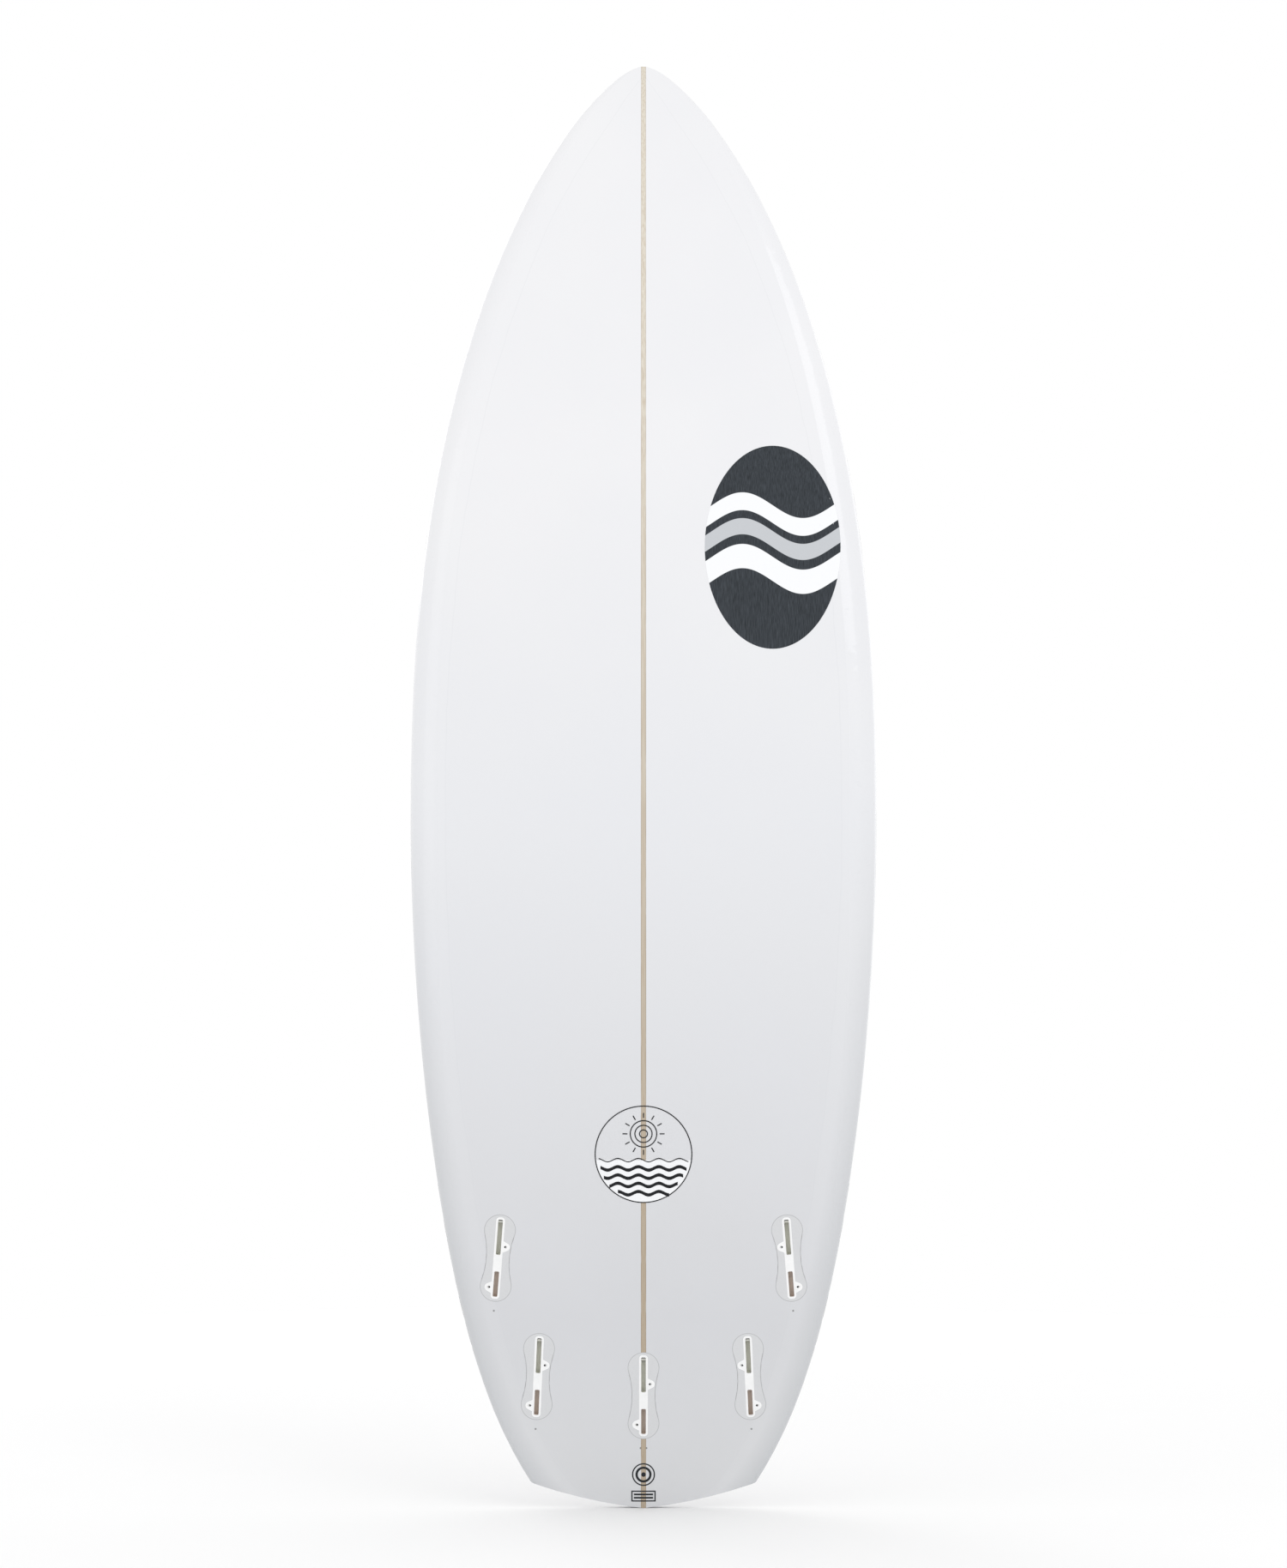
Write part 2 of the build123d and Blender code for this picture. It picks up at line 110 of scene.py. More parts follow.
PENCIL_DOT_PLACE = 0.066            # from a fin box's middle, towards the tail
PENCIL_DOT_PAIR = 0.0036            # each side of the stringer, behind the centre box

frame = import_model()
NODES = frame["nodes"]
CAD_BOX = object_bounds()


def mount_place(name):
    """Where a mount of the frame is, and which way it faces."""
    mount = next(m for m in frame["record"]["mounts"] if m["name"] == name)
    return Vector(mount["pos_m"]), Vector(mount["axis"])


def joint_axis(name):
    joint = next(j for j in frame["joints"] if j["name"] == name)
    return Vector(joint["axis"])


def node_middle(name):
    low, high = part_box(name)
    return (low + high) / 2


def node_size(name):
    low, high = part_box(name)
    return high - low


# Outline of the board, read from the frame: the rail's widest line


def rail_line(steps=90):
    """Heights up the board, and there the half width and the depth of the rail's widest line."""
    points = np.array([v.co for v in NODES["deck_laminate"].data.vertices])
    edges = np.linspace(points[:, 2].min(), points[:, 2].max(), steps + 1)
    line = []
    for low, high in zip(edges[:-1], edges[1:]):
        band = points[(points[:, 2] >= low) & (points[:, 2] <= high)]
        if len(band):
            widest = band[np.argmax(np.abs(band[:, 0]))]
            seam = band[np.abs(band[:, 0]) > 0.985 * abs(widest[0])]
            line.append((widest[2], abs(widest[0]), seam[:, 1].max()))
    return np.array(line)


RAIL_LINE = rail_line()
RAIL_DEPTH = np.polynomial.Polynomial.fit(RAIL_LINE[:, 0], RAIL_LINE[:, 2], 6)


def half_width_at(height):
    return float(np.interp(height, RAIL_LINE[:, 0], RAIL_LINE[:, 1]))


def rail_depth_at(height):
    """Where the deck's glass meets the bottom's, read off a smooth curve through the seam."""
    return float(RAIL_DEPTH(height))


# Shader helpers


def linear(colour):
    """An sRGB hex colour as linear RGBA."""
    parts = [int(colour[i : i + 2], 16) / 255 for i in (1, 3, 5)]
    return tuple(c / 12.92 if c <= 0.04045 else ((c + 0.055) / 1.055) ** 2.4 for c in parts) + (1.0,)


def add(tree, kind, settings=None, links=None):
    """Adds a node, sets its properties and inputs, and links sockets into it."""
    node = tree.nodes.new("ShaderNode" + kind)
    for name, value in (settings or {}).items():
        if isinstance(name, str) and hasattr(node, name):
            setattr(node, name, value)
        else:
            node.inputs[name].default_value = value
    for name, socket in (links or {}).items():
        tree.links.new(socket, node.inputs[name])
    return node


def new_material(name, **constants):
    """A material with one Principled shader, its constants set on the shader's own sockets."""
    material = bpy.data.materials.new(name)
    material.use_nodes = True
    shader = material.node_tree.nodes["Principled BSDF"]
    for key, value in constants.items():
        shader.inputs[key.replace("_", " ")].default_value = value
    return material, material.node_tree, shader


def sums(tree, operation, first, second=0.0, third=0.0):
    """One sum on sockets or numbers, as a socket."""
    node = tree.nodes.new("ShaderNodeMath")
    node.operation = operation
    for socket, value in zip(node.inputs, (first, second, third)):
        if isinstance(value, bpy.types.NodeSocket):
            tree.links.new(value, socket)
        else:
            socket.default_value = value
    return node.outputs[0]


def step(tree, value, start, end):
    """0 below start and 1 above end, or the other way round when start is the larger."""
    settings = {1: start, 2: end}
    if start > end:
        settings = {1: end, 2: start, 3: 1.0, 4: 0.0}
    return add(tree, "MapRange", settings, {"Value": value}).outputs["Result"]


def mix(tree, amount, first, second):
    """A colour between two, each a socket or an sRGB hex colour."""
    node = add(tree, "Mix", {"data_type": "RGBA"})
    for socket, value in zip((node.inputs[0], node.inputs[6], node.inputs[7]), (amount, first, second)):
        if isinstance(value, bpy.types.NodeSocket):
            tree.links.new(value, socket)
        else:
            socket.default_value = linear(value) if isinstance(value, str) else value
    return node.outputs[2]


def axes_of(tree):
    """The Object coordinates, as one socket and as X, Y and Z."""
    place = add(tree, "TexCoord").outputs["Object"]
    split = add(tree, "SeparateXYZ", links={"Vector": place})
    return place, split.outputs["X"], split.outputs["Y"], split.outputs["Z"]


def noise(tree, place, pitch_mm, detail=2.0, stretch=(1.0, 1.0, 1.0)):
    """Noise with features about pitch_mm apart, longer along an axis whose stretch is larger."""
    scale = tuple(1 / (pitch_mm * MM * s) for s in stretch)
    mapped = add(tree, "Mapping", {"Scale": scale}, {"Vector": place}).outputs["Vector"]
    return add(tree, "TexNoise", {"Scale": 1.0, "Detail": detail}, {"Vector": mapped}).outputs["Fac"]


def bump(tree, shader, height, depth_mm, strength=1.0):
    node = add(tree, "Bump", {"Strength": strength, "Distance": depth_mm * MM}, {"Height": height})
    tree.links.new(node.outputs["Normal"], shader.inputs["Normal"])


def paint(obj, material):
    """Gives a piece or a CAD node its only material."""
    obj.data.materials.clear()
    obj.data.materials.append(material)


# Modelling helpers


def clear_selection():
    for obj in bpy.context.selected_objects:
        obj.select_set(False)


def apply_modifiers(obj):
    bpy.context.view_layer.objects.active = obj
    for modifier in list(obj.modifiers):
        bpy.ops.object.modifier_apply(modifier=modifier.name)


def settle(obj):
    """Puts a piece's place in its mesh, with the object at the origin."""
    clear_selection()
    obj.select_set(True)
    bpy.context.view_layer.objects.active = obj
    bpy.ops.object.transform_apply(location=True, rotation=True, scale=True)


def flat_disc(across, rise, radius, face, corners=96, rings=0, stretch=1.0):
    """A disc or ellipse on the plan, well outside the board, facing as its side of the board does."""
    clear_selection()
    bpy.ops.mesh.primitive_circle_add(vertices=corners, radius=radius, fill_type="NGON")
    disc = bpy.context.active_object
    if rings:
        inset_rings(disc, radius / (rings + 1), rings)
    disc.scale = (1, stretch, 1)
    disc.rotation_euler = (-face * pi / 2, 0, 0)
    disc.location = (across, face * PLAN_DISTANCE, rise)
    settle(disc)
    return disc


def inset_rings(obj, width, count):
    """Insets the one face again and again, so that the piece can bend to the board."""
    clear_selection()
    obj.select_set(True)
    bpy.context.view_layer.objects.active = obj
    bpy.ops.object.mode_set(mode="EDIT")
    bpy.ops.mesh.select_all(action="SELECT")
    for _ in range(count):
        bpy.ops.mesh.inset(thickness=width, use_boundary=True)
    bpy.ops.object.mode_set(mode="OBJECT")


def open_ring(obj, width):
    """Turns a flat disc into a ring of this width."""
    inset_rings(obj, width, 1)
    bpy.ops.object.mode_set(mode="EDIT")
    bpy.ops.mesh.delete(type="FACE")
    bpy.ops.object.mode_set(mode="OBJECT")
    return obj


def flat_bar(across, rise, length, width, face, cuts=1, turn=0.0):
    """A bar on the plan, cut along its length so that it can bend."""
    clear_selection()
    bpy.ops.mesh.primitive_grid_add(
        x_subdivisions=cuts, y_subdivisions=1, size=1, rotation=(-face * pi / 2, 0, 0),
        location=(0, 0, 0),
    )
    bar = bpy.context.active_object
    bar.scale = (length, width, 1)
    settle(bar)
    bar.rotation_euler = (0, turn, 0)
    bar.location = (across, face * PLAN_DISTANCE, rise)
    settle(bar)
    return bar


def flat_wave(across, rise, length, width, height, pitch, face):
    bar = flat_bar(across, rise, length, width, face, cuts=96)
    for vertex in bar.data.vertices:
        vertex.co.z += height * sin(2 * pi * (vertex.co.x - across) / pitch)
    return bar


def joined(pieces, name):
    clear_selection()
    for piece in pieces:
        piece.select_set(True)
    bpy.context.view_layer.objects.active = pieces[0]
    if len(pieces) > 1:
        bpy.ops.object.join()
    result = bpy.context.view_layer.objects.active
    result.name = name
    result.data.name = name
    return result


def drape(obj, target, face, lift, thickness):
    """Lays a flat piece on the board along Y and gives it its thickness."""
    wrap = obj.modifiers.new("drape", "SHRINKWRAP")
    wrap.target = NODES[target]
    wrap.wrap_method = "PROJECT"
    wrap.wrap_mode = "ABOVE_SURFACE"
    wrap.use_project_y = True
    wrap.use_positive_direction = face < 0
    wrap.use_negative_direction = face > 0
    wrap.offset = lift
    solid = obj.modifiers.new("thickness", "SOLIDIFY")
    solid.thickness = thickness
    solid.offset = -1
    apply_modifiers(obj)
    clear_selection()
    obj.select_set(True)
    bpy.ops.object.shade_smooth_by_angle(angle=radians(40))
    return obj


def place_piece(obj, body, slot, *nodes):
    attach(obj, body)
    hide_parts(*nodes)


# Sizes and colours that a user would change


class SURFBOARD_PG_glass(bpy.types.PropertyGroup):
    # The face tones are painted light and shade. The board is one white: painted paler towards the nose,
    # darker by the fins and tail, and darker over the rails near the tail.
    bottom_nose: StringProperty(
        name="Bottom, nose", description="White of the bottom at the nose", default="#E9E9EB"
    )
    bottom_waist: StringProperty(
        name="Bottom, waist", description="White of the bottom halfway along", default="#E1E2E5"
    )
    bottom_fins: StringProperty(
        name="Bottom, fins", description="White of the bottom by the fins", default="#CDCED1"
    )
    bottom_tail: StringProperty(
        name="Bottom, tail", description="White of the bottom at the tail's edge", default="#D1D2D4"
    )
    bottom_rail: StringProperty(
        name="Bottom, rail", description="White of the bottom over the rails near the tail", default="#BFC1C4"
    )
    deck_nose: StringProperty(
        name="Deck, nose", description="White of the deck at the nose", default="#E8E7EC"
    )
    deck_waist: StringProperty(
        name="Deck, waist", description="White of the deck halfway along", default="#E2E1E6"
    )
    deck_fins: StringProperty(
        name="Deck, fins", description="White of the deck by the fins", default="#D5D5DA"
    )
    deck_tail: StringProperty(
        name="Deck, tail", description="White of the deck at the tail's edge", default="#D7D7D9"
    )
    deck_rail: StringProperty(
        name="Deck, rail", description="White of the deck over the rails near the tail", default="#D0D1D2"
    )
    lap_inset: FloatProperty(
        name="Lap", description="How far the deck's glass laps round onto the bottom",
        default=0.042, unit="LENGTH",
    )
    weave_pitch: FloatProperty(
        name="Weave", description="Thread spacing of the glass cloth", default=0.0012, unit="LENGTH"
    )
    roughness: FloatProperty(
        name="Sheen", description="Roughness of the sanded resin", default=0.32, subtype="FACTOR"
    )


class SURFBOARD_PG_stringer(bpy.types.PropertyGroup):
    wood_nose: StringProperty(name="Wood, nose", description="Ply at the nose", default="#DAD3C5")
    wood_tail: StringProperty(name="Wood, tail", description="Ply at the tail", default="#AE9F8A")
    wood_dark: StringProperty(name="Grain", description="The ply's grain lines", default="#A48A68")
    glue: StringProperty(name="Glue", description="Resin lines beside the stringer", default="#86704F")
    grain_pitch: FloatProperty(
        name="Grain pitch", description="Spacing of the ply's grain", default=0.0011, unit="LENGTH"
    )


class SURFBOARD_PG_carbon(bpy.types.PropertyGroup):
    tow_pitch: FloatProperty(
        name="Tow pitch", description="From one tow to the next", default=0.00205, unit="LENGTH"
    )
    tow: StringProperty(name="Tow", description="Carbon fibre", default="#2A2C30")
    stitch: StringProperty(name="Gap", description="Pale line between two tows", default="#B6B9BC")
    plan_width: FloatProperty(
        name="Width on the deck", description="Width of a strip seen from the deck",
        default=0.019, unit="LENGTH",
    )
    tail_slant: FloatProperty(
        name="Slant, tail", description="How much shorter the inner edge is at the tail end",
        default=0.021, unit="LENGTH",
    )
    nose_slant: FloatProperty(
        name="Slant, nose", description="How much shorter the inner edge is at the nose end",
        default=0.015, unit="LENGTH",
    )


class SURFBOARD_PG_marks(bpy.types.PropertyGroup):
    charcoal: StringProperty(name="Charcoal", description="Ground of the emblems", default="#2B2F33")
    silver: StringProperty(name="Silver", description="Pale grey bands of the emblems", default="#C3C6CA")
    white: StringProperty(name="White", description="White bands and patches", default="#F2F3F5")
    ink: StringProperty(name="Ink", description="Line art", default="#1B1C1F")
    line: FloatProperty(name="Line", description="Width of a thin line", default=0.0013, unit="LENGTH")
    rays: IntProperty(name="Rays", description="Rays round the sun", default=12)
    lift: FloatProperty(
        name="Lift", description="How far a mark lies off the glass", default=0.00018, unit="LENGTH"
    )
    film: FloatProperty(name="Film", description="Thickness of a mark", default=0.0001, unit="LENGTH")


class SURFBOARD_PG_fittings(bpy.types.PropertyGroup):
    box: StringProperty(name="Fin box", description="Moulded nylon", default="#F4F4F4")
    # the two slot colours are painted shade and reflection: darker, tinted whites for the slots' shadowed
    # floors
    long_slot_shade_tint: StringProperty(name="Long slot", description="Nylon deep in the long slot", default="#E4E4DA")
    short_slot_shade_tint: StringProperty(
        name="Short slot", description="Nylon deep in the short slot", default="#DDD0C5"
    )
    resin: StringProperty(name="Fill", description="White resin round the fin boxes", default="#D0D1D3")
    resin_edge: StringProperty(name="Fill edge", description="Sanded edge of the fill", default="#B0B1B3")
    roller: StringProperty(name="Roller", description="Retaining roller", default="#CFCFC8")
    cup: StringProperty(name="Leash cup", description="Glossy moulded cup", default="#0D0E10")
    spring_keep: FloatProperty(
        name="Spring squeeze", description="What is left of a spring when its roller is pushed back",
        default=0.42, subtype="FACTOR",
    )


class SURFBOARD_PG_stage(bpy.types.PropertyGroup):
    floor_size: FloatProperty(name="Floor", description="Floor's width", default=5.0, unit="LENGTH")
    lens: FloatProperty(name="Lens", description="Focal length in millimetres", default=120.0)
    fill: FloatProperty(
        name="Frame fill", description="Board's length as a share of the frame's height",
        default=0.93, subtype="FACTOR",
    )
    floor_colour: StringProperty(name="Floor colour", description="Plain pale floor", default="#F4F4F4")


PROPERTY_GROUPS = {
    "surfboard_glass": SURFBOARD_PG_glass,
    "surfboard_stringer": SURFBOARD_PG_stringer,
    "surfboard_carbon": SURFBOARD_PG_carbon,
    "surfboard_marks": SURFBOARD_PG_marks,
    "surfboard_fittings": SURFBOARD_PG_fittings,
    "surfboard_stage": SURFBOARD_PG_stage,
}


# Materials


def inset_from_rail(tree, across, height):
    """Distance in from the board's outline, from a curve through the rail's widest line."""
    length = CAD_BOX[1].z - CAD_BOX[0].z
    widest = CAD_BOX[1].x
    share = sums(tree, "DIVIDE", height, length)
    curve = tree.nodes.new("ShaderNodeFloatCurve")
    line = curve.mapping.curves[0]
    knots = 24
    for i in range(knots + 1):
        at = i / knots
        level = half_width_at(at * length) / widest
        if i in (0, knots):
            line.points[0 if i == 0 else -1].location = (at, level)
        else:
            line.points.new(at, level)
    curve.mapping.update()
    tree.links.new(share, curve.inputs["Value"])
    outline = sums(tree, "MULTIPLY", curve.outputs["Value"], widest)
    return sums(tree, "SUBTRACT", outline, sums(tree, "ABSOLUTE", across))


def wood_colour(tree, place, height):
    """Basswood ply on edge: fine streaks along the board, darker towards the tail."""
    stringer = bpy.context.scene.surfboard_stringer
    pitch = stringer.grain_pitch / MM
    streaks = noise(tree, place, pitch, detail=4.0, stretch=(1, 1, 60))
    grain = sums(tree, "MULTIPLY", step(tree, streaks, 0.42, 0.66), 0.35)
    pale = mix(tree, step(tree, height, 1.5, 0.3), stringer.wood_nose, stringer.wood_tail)
    return mix(tree, grain, pale, stringer.wood_dark)


def pencil_dots(tree, across, height):
    """A mask of the pencil dots behind the fin boxes."""
    plan = add(tree, "CombineXYZ", links={"X": across, "Z": height}).outputs["Vector"]
    mask = 0.0
    for box in BOX_NAMES:
        dot = mount_place(box + "_fin_socket")[0] - joint_axis(box + "_roller_slide") * PENCIL_DOT_PLACE
        for side in (-1, 1) if box == "centre" else (0,):
            at = (dot.x + side * PENCIL_DOT_PAIR, 0, dot.z)
            away = add(tree, "VectorMath", {"operation": "DISTANCE", 1: at}, {0: plan}).outputs["Value"]
            dot_mask = step(tree, away, PENCIL_DOT_RADIUS * 1.3, PENCIL_DOT_RADIUS * 0.7)
            mask = sums(tree, "MAXIMUM", mask, dot_mask)
    return mask


def shell_white_with_painted_shade(tree, face, place, across, height):
    """The white of one face, with painted light and shade: painted brighter towards the nose and darker
    towards the fins and tail, cloudy, and painted a shade darker over the rails near the tail.
    """
    glass = bpy.context.scene.surfboard_glass
    parts = ("nose", "waist", "fins", "tail", "rail")
    nose, waist, fins, tail, rail = (getattr(glass, f"{face}_{part}") for part in parts)
    inset = inset_from_rail(tree, across, height)
    # painted shade: the white steps from dark at the tail through the fins and waist to bright at the nose,
    # for how light falls along the board
    white = mix(tree, step(tree, height, 0.04, 0.22), tail, fins)
    white = mix(tree, step(tree, height, 0.24, 0.86), white, waist)
    white = mix(tree, step(tree, height, 0.86, 1.3), white, nose)
    cloud = step(tree, noise(tree, place, 260, detail=3.0), 0.3, 0.75)
    white = mix(tree, sums(tree, "MULTIPLY", cloud, 0.25), white, "#D9DBE2")
    # painted shade: a darker white over the rails, fading out towards the nose
    rail_painted_shade = sums(tree, "MULTIPLY", step(tree, inset, 0.03, 0.0), step(tree, height, 0.9, 0.2))
    white = mix(tree, rail_painted_shade, white, rail)
    if face == "bottom":
        white = mix(tree, sums(tree, "MULTIPLY", pencil_dots(tree, across, height), 0.75), white, "#3C3B3A")
        white = lapped(tree, white, place, inset, glass.lap_inset)
    return white


def lapped(tree, white, place, inset, lap):
    """The deck's glass lapped onto the bottom: a faint line at its cut edge, and a shade paler outside it."""
    wander = sums(tree, "MULTIPLY", noise(tree, place, 40), 4 * MM)
    edge = sums(tree, "ABSOLUTE", sums(tree, "SUBTRACT", inset, sums(tree, "ADD", wander, lap)))
    line = sums(tree, "MULTIPLY", step(tree, edge, 0.9 * MM, 0.2 * MM), 0.10)
    white = mix(tree, line, white, "#BFC2C7")
    outside = sums(tree, "MULTIPLY", step(tree, inset, lap + 6 * MM, lap - 2 * MM), 0.05)
    return mix(tree, outside, white, "#EEEFF0")


def with_stringer(tree, white, place, across, height):
    """The wood and its two glue lines, seen through the glass."""
    distance = sums(tree, "ABSOLUTE", across)
    half = node_size("stringer").x / 2
    blur = 0.12 * MM
    glue_mask = sums(
        tree, "MULTIPLY", step(tree, distance, half - 3 * blur, half - blur),
        step(tree, distance, half + 4.5 * blur, half + 1.5 * blur),
    )
    wood_mask = step(tree, distance, half + blur, half - blur)
    colour = mix(tree, wood_mask, white, wood_colour(tree, place, height))
    uneven = sums(tree, "MULTIPLY", glue_mask, step(tree, noise(tree, place, 30, detail=4.0), 0.2, 0.5))
    faded = add(tree, "MapRange", {1: 0.5, 2: 1.6, 3: 0.85, 4: 0.35}, {"Value": height}).outputs["Result"]
    glue = bpy.context.scene.surfboard_stringer.glue
    return mix(tree, sums(tree, "MULTIPLY", uneven, faded), colour, glue)


def glass_material(name, face):
    """Clear polyester over glass cloth and white foam: bright, softly glossy, never quite even."""
    glass = bpy.context.scene.surfboard_glass
    material, tree, shader = new_material(
        name, Roughness=glass.roughness, Coat_Weight=0.7, Coat_Roughness=0.06, Coat_IOR=1.54,
        IOR=1.5,
    )
    place, across, _, height = axes_of(tree)
    white = shell_white_with_painted_shade(tree, face, place, across, height)
    tree.links.new(with_stringer(tree, white, place, across, height), shader.inputs["Base Color"])
    # cloth texture, drawn a little coarser than the real thread so that it shows at all
    pitch = 2 * pi / glass.weave_pitch
    warp = sums(tree, "SINE", sums(tree, "MULTIPLY", across, pitch))
    weft = sums(tree, "SINE", sums(tree, "MULTIPLY", height, pitch))
    bump(tree, shader, sums(tree, "MULTIPLY", warp, weft), 0.006, 0.5)
    return material


def foam_material():
    """Shaped polyurethane foam: chalky, off-white, with fine open cells."""
    material, tree, shader = new_material("polyurethane_foam", Roughness=0.85, IOR=1.4)
    place, *_ = axes_of(tree)
    cells = noise(tree, place, 0.6, detail=3.0)
    tree.links.new(mix(tree, cells, "#F1EFE4", "#E0DDCF"), shader.inputs["Base Color"])
    bump(tree, shader, cells, 0.15)
    return material


def wood_material():
    """Basswood ply on edge, sawn and sanded."""
    material, tree, shader = new_material("basswood_ply", Roughness=0.6)
    place, _, _, height = axes_of(tree)
    tree.links.new(wood_colour(tree, place, height), shader.inputs["Base Color"])
    bump(tree, shader, noise(tree, place, 1.1, stretch=(1, 1, 40)), 0.05)
    return material


def glue_material():
    """Amber resin glue, squeezed thin: glossy and a little cloudy."""
    stringer = bpy.context.scene.surfboard_stringer
    material, tree, shader = new_material("resin_glue", Roughness=0.3)
    place, *_ = axes_of(tree)
    tree.links.new(mix(tree, noise(tree, place, 12), stringer.glue, "#B08A5C"), shader.inputs["Base Color"])
    return material


def carbon_material():
    """Carbon tows laid side by side under clear resin: black fibres with pale gaps between tows."""
    carbon = bpy.context.scene.surfboard_carbon
    material, tree, shader = new_material(
        "carbon_tow_tape", Roughness=0.4, Specular_IOR_Level=0.25,
    )
    across = add(tree, "Attribute", {"attribute_name": "across"}).outputs["Fac"]
    along = add(tree, "Attribute", {"attribute_name": "along"}).outputs["Fac"]
    place = add(tree, "CombineXYZ", links={"X": across, "Y": along}).outputs["Vector"]
    sway = sums(tree, "SUBTRACT", noise(tree, place, 25, stretch=(1, 2, 1)), 0.5)
    wander = sums(tree, "MULTIPLY", sway, 0.5 * MM)
    tows = sums(tree, "ADD", sums(tree, "DIVIDE", sums(tree, "ADD", across, wander), carbon.tow_pitch), 0.4)
    from_gap = sums(tree, "ABSOLUTE", sums(tree, "SUBTRACT", sums(tree, "FRACT", tows), 0.5))
    # some gaps stand more open than others, all along the strip
    openness = sums(tree, "SUBTRACT", noise(tree, place, 3.2, stretch=(1, 90, 1)), 0.5)
    gap = step(tree, sums(tree, "MULTIPLY_ADD", openness, 0.7, from_gap), 0.30, 0.38)
    fibres = noise(tree, place, 0.35, detail=3.0, stretch=(1, 40, 1))
    dark = mix(tree, step(tree, fibres, 0.35, 0.7), carbon.tow, "#46494E")
    colour = mix(tree, gap, dark, carbon.stitch)
    tree.links.new(colour, shader.inputs["Base Color"])
    bump(tree, shader, sums(tree, "SUBTRACT", fibres, sums(tree, "MULTIPLY", gap, 1.5)), 0.03, 0.6)
    return material


def emblem_material(name, middle):
    """Printed charcoal with a fine vertical weave, crossed by three rolling bands under gloss resin."""
    marks = bpy.context.scene.surfboard_marks
    material, tree, shader = new_material(name, Roughness=0.45, Specular_IOR_Level=0.12)
    place, across, _, height = axes_of(tree)
    x = sums(tree, "SUBTRACT", across, middle.x)
    z = sums(tree, "SUBTRACT", height, middle.z)
    threads = noise(tree, place, 0.5, detail=3.0, stretch=(1, 1, 30))
    colour = mix(tree, step(tree, threads, 0.35, 0.7), marks.charcoal, "#454A50")
    swell = sums(tree, "SINE", sums(tree, "MULTIPLY", x, 2 * pi / EMBLEM_SWELL_PITCH))
    swell = sums(tree, "MULTIPLY", swell, EMBLEM_SWELL_HEIGHT)
    level = sums(tree, "SUBTRACT", z, swell)
    for low, high, shade in EMBLEM_BANDS:
        tone = getattr(marks, shade)
        band = sums(
            tree, "MULTIPLY", step(tree, level, low - 0.2 * MM, low + 0.2 * MM),
            step(tree, level, high + 0.2 * MM, high - 0.2 * MM),
        )
        colour = mix(tree, band, colour, tone)
    tree.links.new(colour, shader.inputs["Base Color"])
    bump(tree, shader, threads, 0.01, 0.4)
    return material


def ink_material(name, tone, speckle):
    """Printing ink under gloss resin, a little uneven where the paper shows."""
    material, tree, shader = new_material(name, Roughness=0.45, Specular_IOR_Level=0.12)
    place, *_ = axes_of(tree)
    specks = step(tree, noise(tree, place, 0.9), 0.45, 0.8)
    tree.links.new(mix(tree, specks, tone, speckle), shader.inputs["Base Color"])
    return material


def box_axes(tree, box):
    """Places along a fin box towards the nose, across it and down into it, from its middle at the surface."""
    middle, out = mount_place(box + "_fin_socket")
    along = joint_axis(box + "_roller_slide")
    place = add(tree, "TexCoord").outputs["Object"]
    local = add(tree, "VectorMath", {"operation": "SUBTRACT", 1: middle}, {0: place}).outputs[0]
    return [
        add(tree, "VectorMath", {"operation": "DOT_PRODUCT", 1: axis}, {0: local}).outputs["Value"]
        for axis in (along, out.cross(along), -out)
    ]


def nylon_material(name, box):
    """Glass-filled nylon, moulded: white and faintly satin, with painted shade and reflection deep in its
    slots.
    """
    fittings = bpy.context.scene.surfboard_fittings
    material, tree, shader = new_material(name, Roughness=0.42, IOR=1.53)
    place, *_ = axes_of(tree)
    along, _, depth = box_axes(tree, box)
    grain = noise(tree, place, 0.4, detail=3.0)
    white = mix(tree, step(tree, noise(tree, place, 9), 0.3, 0.8), fittings.box, "#ECEDED")
    # painted shade and reflection: the slot floors, 1 to 3 mm down, are painted a darker tinted white, olive
    # in the long slot and brown in the short one
    deep = mix(tree, step(tree, along, -MM, MM), fittings.short_slot_shade_tint, fittings.long_slot_shade_tint)
    tree.links.new(mix(tree, step(tree, depth, MM, 3 * MM), white, deep), shader.inputs["Base Color"])
    bump(tree, shader, grain, 0.02, 0.5)
    return material


def fill_material(name, box):
    """White filled resin, sanded flush: nearly the shell's white, with a thin grey outline."""
    fittings = bpy.context.scene.surfboard_fittings
    material, tree, shader = new_material(name, Roughness=0.3, Coat_Weight=0.6, Coat_Roughness=0.06)
    place, *_ = axes_of(tree)
    along, across, _ = box_axes(tree, box)
    along, across = sums(tree, "ABSOLUTE", along), sums(tree, "ABSOLUTE", across)
    plan = add(tree, "CombineXYZ", links={"X": along, "Y": across}).outputs["Vector"]
    lobe_centre, arc_centre = (FILL_LOBE_PLACE, 0, 0), (0, FILL_WAIST + FILL_ARC_RADIUS, 0)
    from_lobe, from_arc = (
        add(tree, "VectorMath", {"operation": "DISTANCE", 1: centre}, {0: plan}).outputs["Value"]
        for centre in (lobe_centre, arc_centre)
    )
    in_waist = sums(tree, "LESS_THAN", along, FILL_ARC_END)
    inside_lobe = sums(tree, "SUBTRACT", FILL_LOBE_RADIUS, from_lobe)
    inside_waist = sums(tree, "SUBTRACT", from_arc, FILL_ARC_RADIUS)
    difference = sums(tree, "SUBTRACT", inside_waist, inside_lobe)
    inside = sums(tree, "MULTIPLY_ADD", in_waist, difference, inside_lobe)
    speckle = step(tree, noise(tree, place, 2.5, detail=4.0), 0.45, 0.8)
    base = mix(tree, sums(tree, "MULTIPLY", speckle, 0.5), fittings.resin, "#CACBCD")
    edge = step(tree, inside, 0.9 * MM, 0.6 * MM)
    tree.links.new(mix(tree, edge, base, fittings.resin_edge), shader.inputs["Base Color"])
    return material


